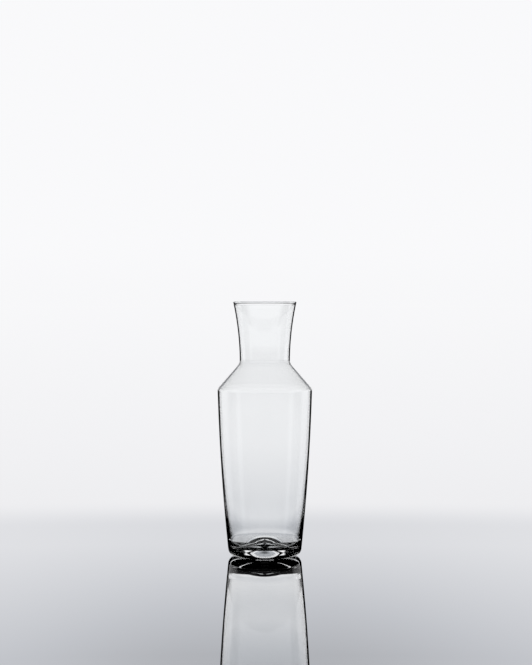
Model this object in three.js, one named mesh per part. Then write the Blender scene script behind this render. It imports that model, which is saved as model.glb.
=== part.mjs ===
// A wine carafe of clear mouth-blown glass: a heavy base with a pushed-up bottom, a tapering body, a conical
// shoulder, a flaring neck and a fire-polished rim. The real carafe is one continuous piece of glass. Here it is
// five zones of that glass, which meet face to face on level planes and stay joined for good.
// Millimetres, +Z up, origin at the centre of the foot ring on the table.
import * as THREE from "three";

// Heights along the axis, from the table up
const BODY_HEIGHT = 124.9;
const SHOULDER_RISE = 19.1;
const NECK_LENGTH = 46;

// Outside radii
const FOOT_RADIUS = 27.5;
const EDGE_RADIUS = 35.3;
const NECK_RADIUS = 18.7;
const MOUTH_RADIUS = 23.7;

// Softness of the outline
const BODY_BULGE = 1.1;
const FOOT_CORNER = 6.2;
const EDGE_ROUND = 1.6;
const NECK_ROUND = 2;

// Thickness of the glass: thin at the neck, and thicker towards the base
const WALL_NECK = 1;
const WALL_FOOT = 2.6;
const WALL_FADE = 22.6;
const RIM_BEAD_RADIUS = 0.7;

// The heavy base, inside: a trough with a dome in its middle, and the rounding up to the wall
const FLOOR_HEIGHT = 6.9;
const CORNER_HEIGHT = 6.9;
const CORNER_WIDTH = 4.45;
const DOME_HEIGHT = 14.4;
const DOME_FULLNESS = 2.05;
const DOME_FLARE = 1.45;

// The heavy base, underneath: a push-up within the flat ring that the carafe stands on
const PUNT_DEPTH = 7.65;
const PUNT_FULLNESS = 1.62;
const PUNT_FLARE = 1.575;
const FOOT_RING_WIDTH = 2.35;

// How finely the round shapes are cut into flats
const FACETS = 60;
const CURVE_STEPS = 7;
const MOUND_STEPS = 11;
const WALL_STEPS = 6;

// Levels and radii that follow from the sizes above
const neckFoot = BODY_HEIGHT + SHOULDER_RISE;
const carafeHeight = neckFoot + NECK_LENGTH;
const beadCentre = carafeHeight - RIM_BEAD_RADIUS;
const rimFoot = beadCentre - Math.sqrt(RIM_BEAD_RADIUS ** 2 - (WALL_NECK / 2) ** 2);
const baseTop = FLOOR_HEIGHT + CORNER_HEIGHT;
const shoulderFoot = BODY_HEIGHT - 2 * EDGE_ROUND;
const shoulderTop = neckFoot + 2 * NECK_ROUND;
const ringOuter = FOOT_RADIUS - FOOT_CORNER;
const puntRadius = ringOuter - FOOT_RING_WIDTH;

// The lesser, or the greater, of two radii, with the corner between them rounded off
function roundedLesser(a, b, round) {
  const near = Math.max(round - Math.abs(a - b), 0) / round;
  return Math.min(a, b) - (round * near ** 2) / 4;
}

function roundedGreater(a, b, round) {
  return -roundedLesser(-a, -b, round);
}

// Outside radius of the glass at a height above the foot's corner
function outerRadius(z) {
  const up = (z - FOOT_CORNER) / (BODY_HEIGHT - FOOT_CORNER);
  const body = THREE.MathUtils.lerp(FOOT_RADIUS, EDGE_RADIUS, up) + 4 * BODY_BULGE * up * (1 - up);
  const shoulder = THREE.MathUtils.mapLinear(z, BODY_HEIGHT, neckFoot, EDGE_RADIUS, NECK_RADIUS);
  const flare = Math.max(0, (z - neckFoot) / NECK_LENGTH);
  const neck = NECK_RADIUS + (MOUTH_RADIUS - NECK_RADIUS) * flare ** 2;
  return roundedGreater(roundedLesser(body, shoulder, EDGE_ROUND), neck, NECK_ROUND);
}

// Thickness of the wall, square to the glass
function wallThickness(z) {
  return WALL_NECK + (WALL_FOOT - WALL_NECK) * Math.exp((baseTop - z) / WALL_FADE);
}

// Inside radius at the same height, across a wall that may lean
function innerRadius(z) {
  const step = 0.01;
  const lean = (outerRadius(z + step) - outerRadius(z - step)) / (2 * step);
  return outerRadius(z) - wallThickness(z) * Math.hypot(1, lean);
}

// Points on a wall from one level to another
function wallPoints(radiusAt, from, to, steps) {
  return Array.from({ length: steps + 1 }, (_, i) => {
    const z = THREE.MathUtils.lerp(from, to, i / steps);
    return new THREE.Vector2(radiusAt(z), z);
  });
}

// Points on a round mound, from its top in the middle to its edge. A fuller mound is flatter on top, and a larger
// flare runs out more softly at the edge.
function moundPoints(radius, foot, top, fullness, flare) {
  return Array.from({ length: MOUND_STEPS + 1 }, (_, i) => {
    const run = i / MOUND_STEPS;
    return new THREE.Vector2(radius * run, foot + (top - foot) * (1 - run ** fullness) ** flare);
  });
}

// Clear glass, nearly colourless and polished by the fire
function clearGlass() {
  return new THREE.MeshStandardMaterial({
    color: 0xf1f5f5,
    roughness: 0.02,
    metalness: 0,
    transparent: true,
    opacity: 0.35,
  });
}

// A zone of the carafe, turned from its outline about the upright axis
function turned(name, outline) {
  const geometry = new THREE.LatheGeometry(outline, FACETS).rotateX(Math.PI / 2);
  const mesh = new THREE.Mesh(geometry, clearGlass());
  mesh.name = name;
  return mesh;
}

// A ring of wall between two levels, closed by a level face at each end
function wallRing(name, from, to, steps) {
  const outside = wallPoints(outerRadius, from, to, steps);
  const inside = wallPoints(innerRadius, to, from, steps);
  return turned(name, [...outside, ...inside, outside[0]]);
}

// The solid bottom: push-up, foot ring, rounded corner, outside wall, inside corner, trough and dome
function makeBase() {
  const punt = moundPoints(puntRadius, 0, PUNT_DEPTH, PUNT_FULLNESS, PUNT_FLARE);
  const lean = Math.atan((outerRadius(baseTop) - FOOT_RADIUS) / (baseTop - FOOT_CORNER));
  const footCorner = new THREE.EllipseCurve(
    ringOuter, FOOT_CORNER, FOOT_CORNER, FOOT_CORNER, -Math.PI / 2, -lean,
  ).getPoints(CURVE_STEPS);
  const outside = new THREE.Vector2(outerRadius(baseTop), baseTop);
  const troughRadius = innerRadius(baseTop) - CORNER_WIDTH;
  const insideCorner = new THREE.EllipseCurve(
    troughRadius, baseTop, CORNER_WIDTH, CORNER_HEIGHT, 0, -Math.PI / 2, true,
  ).getPoints(CURVE_STEPS);
  const dome = moundPoints(troughRadius, FLOOR_HEIGHT, DOME_HEIGHT, DOME_FULLNESS, DOME_FLARE).reverse().slice(1);
  return turned("base", [...punt, ...footCorner, outside, ...insideCorner, ...dome]);
}

// The fire-polished lip, a round bead on the end of the neck's wall
function makeRim() {
  const halfWall = WALL_NECK / 2;
  const middle = outerRadius(rimFoot) - halfWall;
  const start = -Math.acos(halfWall / RIM_BEAD_RADIUS);
  const bead = new THREE.EllipseCurve(
    middle, beadCentre, RIM_BEAD_RADIUS, RIM_BEAD_RADIUS, start, Math.PI - start,
  ).getPoints(CURVE_STEPS);
  return turned("rim", [...bead, bead[0]]);
}

const carafe = new THREE.Group();
carafe.name = "carafe";
carafe.add(
  makeBase(),
  wallRing("body_wall", baseTop, shoulderFoot, WALL_STEPS),
  wallRing("shoulder", shoulderFoot, shoulderTop, 2 * WALL_STEPS),
  wallRing("neck", shoulderTop, rimFoot, WALL_STEPS),
  makeRim(),
);

export default carafe;
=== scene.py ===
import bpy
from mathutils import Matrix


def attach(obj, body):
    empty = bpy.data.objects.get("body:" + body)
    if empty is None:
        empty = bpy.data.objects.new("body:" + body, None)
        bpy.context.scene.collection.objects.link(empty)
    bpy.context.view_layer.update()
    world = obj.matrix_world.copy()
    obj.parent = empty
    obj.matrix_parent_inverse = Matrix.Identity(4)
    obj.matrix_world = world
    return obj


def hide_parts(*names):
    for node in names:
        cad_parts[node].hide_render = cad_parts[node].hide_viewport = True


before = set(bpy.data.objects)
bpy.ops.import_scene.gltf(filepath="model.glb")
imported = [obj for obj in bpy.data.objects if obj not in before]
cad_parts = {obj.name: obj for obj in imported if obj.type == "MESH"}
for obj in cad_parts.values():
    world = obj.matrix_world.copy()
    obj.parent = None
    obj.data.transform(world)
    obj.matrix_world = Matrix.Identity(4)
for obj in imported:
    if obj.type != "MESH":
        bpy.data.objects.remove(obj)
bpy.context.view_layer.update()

import math

import bmesh
import bpy
from bpy.props import FloatProperty, FloatVectorProperty, IntProperty, PointerProperty
from bpy.types import Operator, Panel, PropertyGroup

bl_info = {
    "name": "Blown-glass carafe",
    "version": (1, 0, 0),
    "blender": (4, 5, 0),
    "location": "3D View > Sidebar > Carafe",
    "description": "A clear glass wine carafe with a heavy domed base, on a pale studio table",
    "category": "Add Mesh",
}

# Nodes that the one piece of glass stands for
GLASS_NODES = ("base", "body_wall", "shoulder", "neck", "rim")


# Sizes, finish and stage that a user can change

def length(name, description, default):
    """A size in metres."""
    return FloatProperty(
        name=name, description=description, default=default, min=0.0, precision=5, unit="LENGTH")


def share(name, description, default, low=0.0, high=1.0):
    """A plain number, such as a strength or an exponent."""
    return FloatProperty(name=name, description=description, default=default, min=low, max=high)


def angle(name, description, degrees):
    """An angle, shown in degrees."""
    return FloatProperty(name=name, description=description, default=math.radians(degrees), subtype="ANGLE")


def tone(name, description, default):
    """A colour."""
    return FloatVectorProperty(
        name=name, description=description, default=default, subtype="COLOR", size=3, min=0, max=1)


class CarafeShape(PropertyGroup):
    """Sizes of the glass, the same as those of the solids."""

    body_height: length("Body height", "Table to the shoulder's edge", 0.1249)
    shoulder_rise: length("Shoulder rise", "Shoulder's edge to the foot of the neck", 0.0191)
    neck_length: length("Neck length", "Foot of the neck to the top of the rim", 0.046)
    foot_radius: length("Foot radius", "Outside radius above the rounded foot", 0.0275)
    edge_radius: length("Shoulder radius", "Outside radius at the shoulder's edge", 0.0353)
    neck_radius: length("Neck radius", "Outside radius at the foot of the neck", 0.0187)
    mouth_radius: length("Mouth radius", "Outside radius at the rim", 0.0237)
    body_bulge: length("Body bulge", "How far the body's side swells beyond a straight taper", 0.0011)
    foot_corner: length("Foot corner", "Radius of the rounded outside corner of the foot", 0.0062)
    edge_round: length("Edge rounding", "Softness of the shoulder's edge", 0.0016)
    neck_round: length("Neck rounding", "Softness of the corner between shoulder and neck", 0.0020)
    wall_neck: length("Wall at the neck", "Thickness of the thin glass", 0.001)
    wall_foot: length("Wall at the foot", "Thickness of the glass just above the inside corner", 0.0026)
    wall_fade: length("Wall fade", "Height over which the wall thins out", 0.0226)
    rim_bead: length("Rim bead", "Radius of the fire-polished lip", 0.0007)
    floor_height: length("Floor height", "Table to the trough of the inside floor", 0.0069)
    corner_height: length("Inside corner height", "Height of the rounding between floor and wall", 0.0069)
    corner_width: length("Inside corner width", "Width of the rounding between floor and wall", 0.00445)
    dome_height: length("Dome height", "Table to the top of the floor's dome", 0.0144)
    dome_fullness: share("Dome fullness", "Higher is flatter on top", 2.05, 1.0, 6.0)
    dome_flare: share("Dome flare", "Higher runs out more softly into the trough", 1.45, 1.0, 4.0)
    punt_depth: length("Push-up depth", "Height of the hollow under the base", 0.00765)
    punt_fullness: share("Push-up fullness", "Higher is flatter on top", 1.62, 1.0, 6.0)
    punt_flare: share("Push-up flare", "Higher runs out more softly into the foot ring", 1.575, 1.0, 4.0)
    ring_width: length("Foot ring width", "Width of the flat ring that the carafe stands on", 0.00235)
    turns: IntProperty(name="Steps round", description="Faces round the carafe", default=160, min=24, max=512)


class CarafeFinish(PropertyGroup):
    """The look of the glass."""

    tint: tone("Tint", "Colour of the clear glass", (0.985, 0.992, 0.992))
    ior: share("Index", "Index of refraction", 1.5, 1.0, 2.5)
    wave_length: length("Wave length", "Width of the soft waves that blowing leaves", 0.028)
    wave_depth: length("Wave depth", "Height of those waves", 0.00002)
    smear: share("Smear", "Roughness where the polish is least", 0.012)


class CarafeStage(PropertyGroup):
    """Camera, table and studio light."""

    eye_distance: length("Eye distance", "Camera to the carafe's axis", 1.303)
    eye_height: length("Eye height", "Camera above the table", 0.1896)
    eye_aside: length("Eye aside", "Camera to the right of the axis", 0.00087)
    aim_height: length("Aim height", "Height on the axis at the middle of the picture", 0.16687)
    picture_height: length("Picture height", "Height of the picture at the axis", 0.49647)
    table: tone("Table", "Colour of the pale table top", (0.80, 0.81, 0.83))
    pale: share("Pale", "Strength of the pale studio in the glass and the table", 0.965)
    fill: share("Fill", "Strength of the soft light on the table", 0.90)
    room: share("Room", "Strength of the dim room behind the camera", 0.03)
    panel_half: angle("Backdrop half width", "Half the width of the lit backdrop, seen from the table", 23.1)
    strip_half: angle("Strip half width", "Half the width of the backdrop that the low glass shows", 16.6)
    steep_from: angle("Steep from", "Height from which rays turned in the base see the backdrop", 11.3)
    panel_soft: angle("Backdrop edge", "Softness of the backdrop's edge", 2.0)
    panel_top: angle("Backdrop top", "Height of the lit backdrop, seen from the table", 25.3)


# Outline of the glass

# Steps along each stretch of the outline
WALL_STEPS = 34
CORNER_STEPS = 18
CONE_STEPS = 6
NECK_STEPS = 24
BEAD_STEPS = 14
MOUND_STEPS = 30

# How far the close steps reach from the shoulder's edge and the neck's foot, in roundings
EDGE_REACH = 2.5
NECK_REACH = 2.0

# Step for reading the wall's lean, and the distance within which two points are one, in metres
LEAN_STEP = 1e-5
WELD_DISTANCE = 1e-7


def rounded_lesser(first, second, soft):
    """The lesser of two radii, with the corner between them rounded off."""
    near = max(soft - abs(first - second), 0.0) / soft
    return min(first, second) - soft * near ** 2 / 4


def outer_radius(shape, z):
    """Outside radius of the glass at a height above the foot's corner."""
    up = (z - shape.foot_corner) / (shape.body_height - shape.foot_corner)
    body = shape.foot_radius + (shape.edge_radius - shape.foot_radius) * up
    body += 4 * shape.body_bulge * up * (1 - up)
    slope = (shape.neck_radius - shape.edge_radius) / shape.shoulder_rise
    shoulder = shape.edge_radius + slope * (z - shape.body_height)
    flare = max(0.0, (z - shape.body_height - shape.shoulder_rise) / shape.neck_length)
    neck = shape.neck_radius + (shape.mouth_radius - shape.neck_radius) * flare ** 2
    return -rounded_lesser(-rounded_lesser(body, shoulder, shape.edge_round), -neck, shape.neck_round)


def inner_radius(shape, z):
    """Inside radius at the same height, across a wall that may lean."""
    lean = (outer_radius(shape, z + LEAN_STEP) - outer_radius(shape, z - LEAN_STEP)) / (2 * LEAN_STEP)
    base_top = shape.floor_height + shape.corner_height
    wall = shape.wall_neck + (shape.wall_foot - shape.wall_neck) * math.exp((base_top - z) / shape.wall_fade)
    return outer_radius(shape, z) - wall * math.hypot(1, lean)


def spaced(first, last, steps):
    """Evenly spaced values, both ends included."""
    return [first + (last - first) * i / steps for i in range(steps + 1)]


def arc(radius, level, width, height, angles):
    """Points on an ellipse about a radius and a level."""
    return [(radius + width * math.cos(turn), level + height * math.sin(turn)) for turn in angles]


def mound(radius, foot, rise, fullness, flare):
    """Points on a round mound, from its top in the middle to its edge."""
    runs = spaced(0, 1, MOUND_STEPS)
    return [(radius * run, foot + rise * (1 - run ** fullness) ** flare) for run in runs]


def wall_levels(shape, low, high):
    """Heights along the wall, close together where the outline turns."""
    edge = shape.body_height
    neck = shape.body_height + shape.shoulder_rise
    near_edge = EDGE_REACH * shape.edge_round
    near_neck = NECK_REACH * shape.neck_round
    stops = (low, edge - near_edge, edge + near_edge, neck - near_neck, neck + near_neck, high)
    steps = (WALL_STEPS, CORNER_STEPS, CONE_STEPS, CORNER_STEPS, NECK_STEPS)
    levels = [low]
    for first, last, count in zip(stops, stops[1:], steps):
        levels += spaced(first, last, count)[1:]
    return levels


def underside(shape, base_top):
    """The push-up, the foot ring and the rounded outside corner."""
    corner = shape.foot_corner
    ring = shape.foot_radius - corner
    punt = mound(ring - shape.ring_width, 0.0, shape.punt_depth, shape.punt_fullness, shape.punt_flare)
    lean = math.atan((outer_radius(shape, base_top) - shape.foot_radius) / (base_top - corner))
    return punt + arc(ring, corner, corner, corner, spaced(-math.pi / 2, -lean, CORNER_STEPS))


def walls_and_rim(shape, base_top):
    """The outside of the wall, the bead of the rim and the inside of the wall."""
    half_wall = shape.wall_neck / 2
    bead = shape.rim_bead
    bead_level = shape.body_height + shape.shoulder_rise + shape.neck_length - bead
    rim_foot = bead_level - math.sqrt(bead ** 2 - half_wall ** 2)
    levels = wall_levels(shape, base_top, rim_foot)
    outside = [(outer_radius(shape, z), z) for z in levels]
    inside = [(inner_radius(shape, z), z) for z in reversed(levels)]
    middle = outer_radius(shape, rim_foot) - half_wall
    start = -math.acos(half_wall / bead)
    rim = arc(middle, bead_level, bead, bead, spaced(start, math.pi - start, BEAD_STEPS)[1:-1])
    return outside + rim + inside


def inside_floor(shape, base_top):
    """The rounding from the wall to the trough, and the dome up to its middle."""
    trough = inner_radius(shape, base_top) - shape.corner_width
    angles = spaced(0, -math.pi / 2, CORNER_STEPS)[1:]
    corner = arc(trough, base_top, shape.corner_width, shape.corner_height, angles)
    rise = shape.dome_height - shape.floor_height
    dome = mound(trough, shape.floor_height, rise, shape.dome_fullness, shape.dome_flare)
    return corner + dome[::-1][1:]


def carafe_outline(shape):
    """Radius and height along the glass, from the middle of the push-up to the middle of the dome."""
    base_top = shape.floor_height + shape.corner_height
    return underside(shape, base_top) + walls_and_rim(shape, base_top) + inside_floor(shape, base_top)


def turned_mesh(name, outline, steps):
    """A closed, smooth mesh turned from an outline about the upright axis."""
    draft = bmesh.new()
    points = [draft.verts.new((radius, 0, z)) for radius, z in outline]
    edges = [draft.edges.new(pair) for pair in zip(points, points[1:])]
    bmesh.ops.spin(
        draft, geom=points + edges, axis=(0, 0, 1), cent=(0, 0, 0), angle=2 * math.pi, steps=steps,
        use_merge=True)
    bmesh.ops.remove_doubles(draft, verts=draft.verts, dist=WELD_DISTANCE)
    bmesh.ops.recalc_face_normals(draft, faces=draft.faces)
    for face in draft.faces:
        face.smooth = True
    mesh = bpy.data.meshes.new(name)
    draft.to_mesh(mesh)
    draft.free()
    return mesh


# Nodes of the materials and the world

# Half a count, which keeps whole numbers apart
HALF_COUNT = 0.5


class Nodes:
    """Places nodes in a tree and wires values or sockets into them."""

    def __init__(self, tree):
        self.tree = tree
        tree.nodes.clear()

    def add(self, kind, settings=None, **inputs):
        """A node with its settings and its inputs."""
        node = self.tree.nodes.new(kind)
        for key, value in (settings or {}).items():
            setattr(node, key, value)
        for key, value in inputs.items():
            self.feed(node.inputs[key.replace("_", " ")], value)
        return node

    def feed(self, socket, value):
        """Links a socket to another, or sets its value."""
        if isinstance(value, bpy.types.NodeSocket):
            self.tree.links.new(value, socket)
        else:
            socket.default_value = value

    def feed_all(self, sockets, values):
        """Feeds several sockets in their order."""
        for socket, value in zip(sockets, values):
            self.feed(socket, value)

    def maths(self, operation, *values):
        """One step of arithmetic."""
        node = self.add("ShaderNodeMath", {"operation": operation})
        self.feed_all(node.inputs, values)
        return node.outputs[0]

    def times(self, first, *others):
        """The product of all values."""
        for other in others:
            first = self.maths("MULTIPLY", first, other)
        return first

    def most(self, first, *others):
        """The greatest of all values."""
        for other in others:
            first = self.maths("MAXIMUM", first, other)
        return first

    def rest(self, value):
        """What a value leaves of 1."""
        return self.maths("SUBTRACT", 1.0, value)

    def apart(self, value, middle):
        """How far a value is from a middle."""
        return self.maths("ABSOLUTE", self.maths("SUBTRACT", value, middle))

    def at_most(self, count, limit):
        """1 where a whole number is no more than a limit."""
        return self.maths("LESS_THAN", count, limit + HALF_COUNT)

    def more_than(self, count, limit):
        """1 where a whole number is more than a limit."""
        return self.maths("GREATER_THAN", count, limit + HALF_COUNT)

    def equals(self, count, wanted):
        """1 where a whole number is the wanted one."""
        return self.maths("COMPARE", count, wanted, HALF_COUNT)

    def ramp(self, value, low, high, at_low, at_high, kind="SMOOTHSTEP"):
        """A value that changes between two limits and stays put outside them."""
        node = self.add("ShaderNodeMapRange", {"interpolation_type": kind})
        self.feed_all(node.inputs, (value, low, high, at_low, at_high))
        return node.outputs[0]

    def rise(self, value, edge, amount=1.0, kind="SMOOTHSTEP"):
        """From 0 to an amount across an edge."""
        return self.ramp(value, *edge, 0.0, amount, kind)

    def fall(self, value, edge, amount=1.0):
        """From an amount to 0 across an edge."""
        return self.ramp(value, *edge, amount, 0.0)

    def pick(self, choice, no, yes):
        """One of two values."""
        node = self.add("ShaderNodeMix", {"data_type": "FLOAT"})
        factor, _, at_none, at_full = node.inputs[:4]
        self.feed_all((factor, at_none, at_full), (choice, no, yes))
        return node.outputs[0]

    def blend(self, share, first, second):
        """A mix of two colours."""
        node = self.add("ShaderNodeMix", {"data_type": "RGBA"})
        self.feed_all((node.inputs[0], node.inputs[6], node.inputs[7]), (share, first, second))
        return node.outputs[2]

    def colours(self, value, stops):
        """A colour that changes from stop to stop with a value."""
        node = self.add("ShaderNodeValToRGB", Fac=value)
        ends = node.color_ramp.elements
        for position, colour in stops[1:-1]:
            ends.new(position).color = (*colour, 1)
        for end, (position, colour) in ((ends[0], stops[0]), (ends[-1], stops[-1])):
            end.position = position
            end.color = (*colour, 1)
        return node.outputs[0]


# Glass

# Noise of the waves, which are drawn out upwards, and of the smears
WAVE_STRETCH = (1.0, 1.0, 0.35)
WAVE_DETAIL = 1.0
WAVE_ROUGHNESS = 0.4
SMEARS_PER_METRE = 55.0
SMEAR_DETAIL = 4.0
SMEAR_ROUGHNESS = 0.6
SMEAR_EDGE = (0.50, 0.78)


def clear_glass(finish):
    """Fire-polished clear glass with the soft waves and faint smears of hand work."""
    material = bpy.data.materials.new("clear_glass")
    material.use_nodes = True
    nodes = Nodes(material.node_tree)
    place = nodes.add("ShaderNodeTexCoord").outputs["Object"]
    drawn = nodes.add("ShaderNodeMapping", Vector=place, Scale=WAVE_STRETCH).outputs[0]
    waves = nodes.add(
        "ShaderNodeTexNoise", Vector=drawn, Scale=1 / finish.wave_length, Detail=WAVE_DETAIL,
        Roughness=WAVE_ROUGHNESS)
    smears = nodes.add(
        "ShaderNodeTexNoise", Vector=place, Scale=SMEARS_PER_METRE, Detail=SMEAR_DETAIL,
        Roughness=SMEAR_ROUGHNESS)
    polish = nodes.rise(smears.outputs[0], SMEAR_EDGE, finish.smear)
    bump = nodes.add("ShaderNodeBump", Strength=1.0, Distance=finish.wave_depth, Height=waves.outputs[0])
    shader = nodes.add(
        "ShaderNodeBsdfPrincipled", Base_Color=(*finish.tint, 1), Metallic=0.0, Roughness=polish,
        IOR=finish.ior, Transmission_Weight=1.0, Normal=bump.outputs[0])
    nodes.add("ShaderNodeOutputMaterial", Surface=shader.outputs[0])
    return material


# Table top

# How flat a view has to be for the mirror, what mirror a steep view has, the colours of the mirror, and the
# black of the painted shade in it
GLOSS_EDGE = (0.68, 0.80)
GLOSS_LEAST = 0.04
SHEEN = (
    (0.887, (0.90, 0.90, 0.905)),
    (0.92, (0.93, 0.93, 0.935)),
    (1.0, (0.985, 0.985, 0.985)),
)
PAINTED_SHADE_BLACK = (0, 0, 0, 1)

# Edges of the mirror under the base, of the painted black shade near the carafe and of the foot, in metres
# from the axis
MIRROR_EDGE = (0.030, 0.040)
OUTER_PAINTED_SHADE_EDGE = (0.11, 0.14)
WALL_PAINTED_SHADE_EDGE = (0.09, 0.12)
FOOT_EDGE = (0.028, 0.032)

# Edge of the carafe's far side, in metres behind the axis
FAR_SIDE = (-0.01, 0.01)


def painted_shade_by_carafe(nodes, place, reach, path):
    """1 where the table's mirror is painted black, a painted shade near the carafe for rays that the glass
    has mirrored.
    """
    mirrored = path["Glossy Depth"]
    passed = path["Transmission Depth"]
    depth = nodes.add("ShaderNodeSeparateXYZ", Vector=place).outputs["Y"]
    wall_painted_shade = nodes.times(nodes.equals(passed, 2), nodes.fall(reach, WALL_PAINTED_SHADE_EDGE))
    turned_once = nodes.times(nodes.equals(mirrored, 1), nodes.rise(depth, FAR_SIDE))
    turned_often = nodes.times(nodes.more_than(mirrored, 1), nodes.rise(reach, FOOT_EDGE))
    wall_painted_shade = nodes.times(wall_painted_shade, nodes.most(turned_once, turned_often))
    outer_painted_shade = nodes.times(nodes.more_than(mirrored, 0), nodes.at_most(passed, 0))
    outer_painted_shade = nodes.times(outer_painted_shade, nodes.fall(reach, OUTER_PAINTED_SHADE_EDGE))
    return nodes.most(outer_painted_shade, wall_painted_shade)


def table_top(stage):
    """Pale polished table: a mirror at a glancing view and under the base, plain when looked down on, with
    painted black shade in its mirror near the carafe.
    """
    material = bpy.data.materials.new("table_top")
    material.use_nodes = True
    nodes = Nodes(material.node_tree)
    glance = nodes.add("ShaderNodeLayerWeight").outputs["Facing"]
    place = nodes.add("ShaderNodeTexCoord").outputs["Object"]
    path = nodes.add("ShaderNodeLightPath").outputs
    reach = nodes.add("ShaderNodeVectorMath", {"operation": "LENGTH"}, Vector=place).outputs["Value"]
    under = nodes.times(nodes.more_than(path["Transmission Depth"], 0), nodes.fall(reach, MIRROR_EDGE))
    again = nodes.more_than(path["Glossy Depth"], 0)
    gloss = nodes.most(nodes.ramp(glance, *GLOSS_EDGE, GLOSS_LEAST, 1.0), again, under)
    plain = nodes.add("ShaderNodeBsdfDiffuse", Color=(*stage.table, 1))
    # The mirror's colour turns to painted black shade near the carafe, for rays that the glass has mirrored
    colour = nodes.blend(painted_shade_by_carafe(nodes, place, reach, path), nodes.colours(glance, SHEEN), PAINTED_SHADE_BLACK)
    mirror = nodes.add("ShaderNodeBsdfGlossy", Color=colour, Roughness=0.0)
    both = nodes.add("ShaderNodeMixShader")
    nodes.feed_all(both.inputs, (gloss, plain.outputs[0], mirror.outputs[0]))
    nodes.add("ShaderNodeOutputMaterial", Surface=both.outputs[0])
    return material


# Studio light

# Turns from the middle of the backdrop and heights above the level, in radians. A pair is a soft edge.
SIDE = math.pi / 2
REAR = 0.75 * math.pi
QUARTER = 0.25 * math.pi
PANEL_EDGE = (0.17, 0.24)
ROOM_EDGE = (1.66, 2.10)
BACK_EDGE = (1.9, 2.1)
TOP_SOFT = 0.09

# Slanted windows: the height at which they start nearest to the backdrop, and the height at which they end
WINDOW_MIDDLE = 0.114
WINDOW_TOP = (0.50, 0.55)

# What the outside of the glass mirrors: windows, with their slants, and an unlit part low at the back
OUTER_START = (0.52, 0.60)
OUTER_ABOVE = 4.3
OUTER_BELOW = 1.6
OUTER_MOST = 0.44
UNLIT_START = (1.3, 1.6)
UNLIT_TOP = (0.09, 0.13)

# What the inside of the wall shows: a ceiling, low lights, windows, and the backdrop for steep rays and rim
CEILING_FOOT = (0.24, 0.34)
LOW_START = (0.52, 0.60)
LOW_TOP = (0.20, 0.25)
SQUARE_EDGE = (0.17, 0.35)
WINDOW_START = (0.465, 0.525)
WINDOW_ABOVE = 1.15
WINDOW_BELOW = 0.95
STEEP_SOFT = 0.03
LIP_TOP = (0.24, 0.40)

# What is seen through the hollow: a low part all round, panels at the side and the rear, and a high panel
WIDE_TOP = (0.190, 0.215)
ANGLED_TOP = (0.19, 0.28)
SIDE_LIT_FROM = 0.3
DEEP_START = (0.05, 0.12)
QUARTER_EDGE = (0.30, 0.45)
QUARTER_FOOT = (0.34, 0.40)
AGAIN_START = (0.5, 0.6)
AGAIN_TOP = (0.10, 0.13)
AGAIN_BACKDROP = 0.03
DIM_SHARE = 0.55
DIM_TOP = (0.06, 0.10)

# Shade in the table's foreground, beside the glass and through it: its edges, and the shares of light lost
SHADE_SPREAD = (0.025, 0.175)
SHADE_DEPTH = (0.51, 0.355)
SHADE_SIDE = (0.35, 0.60)
ONSET = (0.113, 0.128)
ONSET_SHARE = 0.31
GROWTH = (0.138, 0.20)
GROWTH_SHARE = 0.58
GLASS_ONSET = (0.085, 0.14)
GLASS_ONSET_SHARE = 0.14
GLASS_GROWTH = (0.163, 0.20)
GLASS_GROWTH_SHARE = 0.235

# Colours of the light and of the shade, and how fast the shade takes on its own
LIGHT_COLOUR = (0.985, 0.985, 1.0, 1)
SHADE_COLOUR = (0.92, 0.945, 1.0, 1)
SHADE_TINT = 3.0

# Background from the horizon up, and the share of the table's soft light that comes by way of the glass
HORIZON = (0.0, 0.035)
BACKGROUND = (0.948, 0.962)
GLASS_FILL = 0.85


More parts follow.
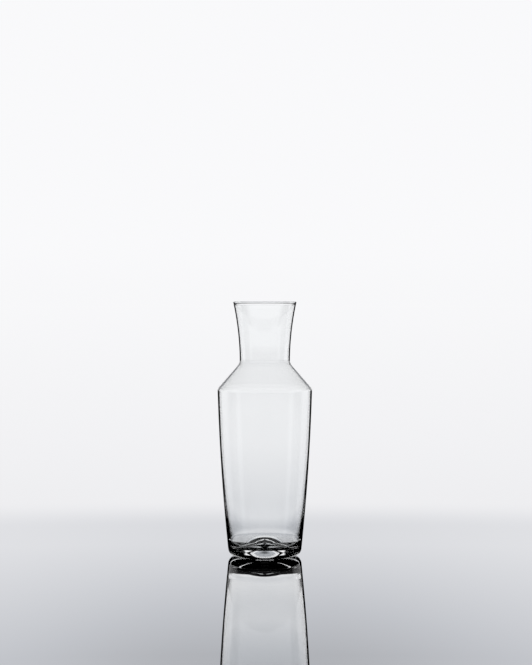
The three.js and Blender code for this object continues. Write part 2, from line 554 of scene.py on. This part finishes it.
class Studio(Nodes):
    """What a ray sees of the studio, by the way that it leaves and the way that it has come."""

    def __init__(self, tree, stage):
        super().__init__(tree)
        self.stage = stage
        toward = self.add("ShaderNodeTexCoord").outputs["Generated"]
        x, y, z = self.add("ShaderNodeSeparateXYZ", Vector=toward).outputs
        self.turn = self.maths("ABSOLUTE", self.maths("ARCTAN2", x, y))
        self.height = self.maths("ARCSINE", z)
        self.path = self.add("ShaderNodeLightPath").outputs
        self.mirrored = self.path["Glossy Depth"]
        self.passed = self.path["Transmission Depth"]
        self.beside = self.fall(self.apart(self.turn, SIDE), PANEL_EDGE, stage.pale)
        self.rear = self.fall(self.apart(self.turn, REAR), PANEL_EDGE)
        self.back = self.rise(self.turn, BACK_EDGE, stage.pale)
        room = self.rise(self.turn, ROOM_EDGE, stage.room)
        self.flagged = self.most(self.below_top(self.strip(stage.panel_half)), room)

    def strip(self, half):
        """The backdrop up to a turn on either side of its middle."""
        soft = self.stage.panel_soft
        return self.fall(self.turn, (half - soft, half + soft), self.stage.pale)

    def below_top(self, light):
        """The part of a light that is below the top of the backdrop."""
        top = self.stage.panel_top
        return self.times(light, self.fall(self.height, (top - TOP_SOFT, top + TOP_SOFT)))

    def slant(self, above, below):
        """How much further round a window starts, above and below its middle."""
        over = self.maths("SUBTRACT", self.height, WINDOW_MIDDLE)
        under = self.maths("SUBTRACT", WINDOW_MIDDLE, self.height)
        return self.most(self.times(over, above), self.times(under, below))

    def window(self, slant, start):
        """A slanted window to either side."""
        light = self.rise(self.maths("SUBTRACT", self.turn, slant), start, self.stage.pale)
        return self.times(light, self.fall(self.height, WINDOW_TOP))

    def from_outside(self):
        """For rays that never entered the glass: pale after one mirror, and windows after more."""
        slant = self.maths("MINIMUM", self.slant(OUTER_ABOVE, OUTER_BELOW), OUTER_MOST)
        unlit = self.times(self.rise(self.turn, UNLIT_START), self.fall(self.height, UNLIT_TOP))
        windows = self.times(self.window(slant, OUTER_START), self.rest(unlit))
        return self.pick(self.at_most(self.mirrored, 1), windows, self.stage.pale)

    def from_wall(self):
        """For rays that passed two faces, in one wall or the rim, by how often they were mirrored."""
        stage = self.stage
        square = self.rise(self.apart(self.turn, SIDE), SQUARE_EDGE)
        low = self.times(self.fall(self.height, LOW_TOP), self.rise(self.turn, LOW_START, stage.pale), square)
        once = self.most(self.rise(self.height, CEILING_FOOT, stage.pale), self.back, low)
        twice = self.times(self.window(self.slant(WINDOW_ABOVE, WINDOW_BELOW), WINDOW_START), square)
        steep = self.rise(self.height, (stage.steep_from, stage.steep_from + STEEP_SOFT))
        often = self.times(steep, self.flagged)
        lip = self.most(self.flagged, self.beside, self.times(self.rear, stage.pale))
        never = self.times(lip, self.fall(self.height, LIP_TOP))
        seen = self.pick(self.at_most(self.mirrored, 2), often, twice)
        seen = self.pick(self.at_most(self.mirrored, 1), seen, once)
        return self.pick(self.at_most(self.mirrored, 0), seen, never)

    def straight_through(self):
        """The studio through the hollow, with a dark middle for rays that passed more than four faces."""
        pale = self.stage.pale
        side = self.maths("GREATER_THAN", self.beside, SIDE_LIT_FROM)
        angled = self.times(self.fall(self.height, ANGLED_TOP, pale), self.most(side, self.rear))
        wide = self.fall(self.height, WIDE_TOP, pale)
        light = self.below_top(self.most(angled, wide, self.strip(self.stage.strip_half)))
        light = self.most(light, self.times(self.back, self.at_most(self.passed, 4)))
        dark_middle = self.pick(self.more_than(self.passed, 4), 1.0, self.rise(self.turn, DEEP_START))
        light = self.times(light, dark_middle)
        quarter = self.fall(self.apart(self.turn, QUARTER), QUARTER_EDGE, pale)
        quarter = self.times(quarter, self.rise(self.height, QUARTER_FOOT))
        return self.most(light, self.pick(self.equals(self.passed, 6), quarter, 0.0))

    def from_hollow(self):
        """For rays that passed more than two faces. Mirrored ones find the low part at the back dimmer."""
        again = self.rise(self.turn, AGAIN_START, self.stage.pale)
        again = self.times(again, self.fall(self.height, AGAIN_TOP))
        again = self.most(again, self.times(self.flagged, AGAIN_BACKDROP))
        dim = self.times(self.rise(self.turn, BACK_EDGE, DIM_SHARE), self.fall(self.height, DIM_TOP))
        dim = self.rest(dim)
        dim_by_table = self.pick(self.at_most(self.mirrored, 0), dim, 1.0)
        light = self.times(self.straight_through(), dim_by_table)
        return self.pick(self.at_most(self.mirrored, 1), self.times(again, dim), light)

    def shade(self):
        """The shade in the table's foreground, for rays mirrored once, beside the glass or through it."""
        onset = self.rise(self.height, ONSET, ONSET_SHARE)
        growth = self.rise(self.height, GROWTH, GROWTH_SHARE, "LINEAR")
        spread = self.ramp(self.turn, *SHADE_SPREAD, *SHADE_DEPTH)
        beside = self.times(spread, self.maths("ADD", onset, growth))
        onset = self.rise(self.height, GLASS_ONSET, GLASS_ONSET_SHARE, "LINEAR")
        growth = self.rise(self.height, GLASS_GROWTH, GLASS_GROWTH_SHARE, "LINEAR")
        through = self.times(self.maths("ADD", onset, growth), self.equals(self.passed, 4))
        shade = self.pick(self.at_most(self.passed, 0), through, beside)
        return self.times(shade, self.fall(self.turn, SHADE_SIDE), self.equals(self.mirrored, 1))

    def light(self):
        """The studio's light, with the soft light on the table and the plain background."""
        shade = self.shade()
        fill = self.stage.fill
        seen = self.pick(self.more_than(self.passed, 2), self.from_wall(), self.from_hollow())
        seen = self.pick(self.at_most(self.passed, 0), seen, self.from_outside())
        seen = self.times(seen, self.rest(shade))
        soft = self.pick(self.path["Is Diffuse Ray"], GLASS_FILL * fill, fill)
        seen = self.pick(self.more_than(self.path["Diffuse Depth"], 0), seen, soft)
        seen = self.pick(self.path["Is Camera Ray"], seen, self.ramp(self.height, *HORIZON, *BACKGROUND))
        colour = self.blend(self.times(shade, SHADE_TINT), LIGHT_COLOUR, SHADE_COLOUR)
        return self.add("ShaderNodeBackground", Color=colour, Strength=seen)


def studio_world(stage):
    """Pale studio, with a lit backdrop between dark flags for the glass to draw its edges with."""
    world = bpy.data.worlds.new("studio")
    world.use_nodes = True
    world.cycles.sampling_method = "NONE"
    studio = Studio(world.node_tree, stage)
    studio.add("ShaderNodeOutputWorld", Surface=studio.light().outputs[0])
    return world


# Stage

# Table: half its width, and how far it lies below the foot, in metres
TABLE_HALF = 60.0
TABLE_GAP = 0.0001

# Camera: the longer side of its sensor in millimetres, and its range in metres
SENSOR = 36.0
NEAREST = 0.01
FARTHEST = 200.0


def make_table(stage):
    """A wide flat table, a hair below the foot."""
    draft = bmesh.new()
    bmesh.ops.create_grid(draft, x_segments=1, y_segments=1, size=TABLE_HALF)
    mesh = bpy.data.meshes.new("table")
    draft.to_mesh(mesh)
    draft.free()
    mesh.materials.append(table_top(stage))
    table = bpy.data.objects.new("table", mesh)
    table.location.z = -TABLE_GAP
    return table


def make_camera(stage):
    """A camera level with the rim, aimed a little down."""
    lens = bpy.data.cameras.new("camera")
    camera = bpy.data.objects.new("camera", lens)
    drop = math.atan((stage.eye_height - stage.aim_height) / stage.eye_distance)
    camera.location = (stage.eye_aside, -stage.eye_distance, stage.eye_height)
    camera.rotation_euler = (math.pi / 2 - drop, 0, 0)
    lens.sensor_width = SENSOR
    lens.lens = SENSOR * stage.eye_distance / (stage.picture_height * math.cos(drop))
    lens.clip_start = NEAREST
    lens.clip_end = FARTHEST
    return camera


# Operators

class CARAFE_OT_blow_glass(Operator):
    """Make the carafe's one piece of glass"""

    bl_idname = "carafe.blow_glass"
    bl_label = "Blow the glass"

    def execute(self, context):
        shape = context.scene.carafe_shape
        mesh = turned_mesh("carafe_glass", carafe_outline(shape), shape.turns)
        mesh.materials.append(clear_glass(context.scene.carafe_finish))
        glass = bpy.data.objects.new("carafe_glass", mesh)
        context.collection.objects.link(glass)
        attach(glass, "root")
        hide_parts(*GLASS_NODES)
        return {"FINISHED"}


class CARAFE_OT_set_stage(Operator):
    """Lay the table, light the studio and place the camera"""

    bl_idname = "carafe.set_stage"
    bl_label = "Set the stage"

    def execute(self, context):
        scene = context.scene
        table = make_table(scene.carafe_stage)
        context.collection.objects.link(table)
        scene.world = studio_world(scene.carafe_stage)
        scene.camera = make_camera(scene.carafe_stage)
        context.collection.objects.link(scene.camera)
        scene.view_settings.view_transform = "Standard"
        return {"FINISHED"}


class CARAFE_PT_workshop(Panel):
    """The carafe's operators and settings"""

    bl_label = "Carafe"
    bl_space_type = "VIEW_3D"
    bl_region_type = "UI"
    bl_category = "Carafe"

    def draw(self, context):
        layout = self.layout
        scene = context.scene
        layout.operator(CARAFE_OT_blow_glass.bl_idname)
        layout.operator(CARAFE_OT_set_stage.bl_idname)
        for group in (scene.carafe_shape, scene.carafe_finish, scene.carafe_stage):
            box = layout.box()
            for key in group.__annotations__:
                box.prop(group, key)


CLASSES = (
    CarafeShape,
    CarafeFinish,
    CarafeStage,
    CARAFE_OT_blow_glass,
    CARAFE_OT_set_stage,
    CARAFE_PT_workshop,
)


def register():
    """Add the classes and the scene's settings."""
    for each in CLASSES:
        bpy.utils.register_class(each)
    bpy.types.Scene.carafe_shape = PointerProperty(type=CarafeShape)
    bpy.types.Scene.carafe_finish = PointerProperty(type=CarafeFinish)
    bpy.types.Scene.carafe_stage = PointerProperty(type=CarafeStage)


def unregister():
    """Take the settings and the classes away again."""
    del bpy.types.Scene.carafe_stage
    del bpy.types.Scene.carafe_finish
    del bpy.types.Scene.carafe_shape
    for each in reversed(CLASSES):
        bpy.utils.unregister_class(each)


def main():
    """Make the carafe and its stage."""
    register()
    bpy.ops.carafe.blow_glass()
    bpy.ops.carafe.set_stage()


if __name__ == "__main__":
    main()
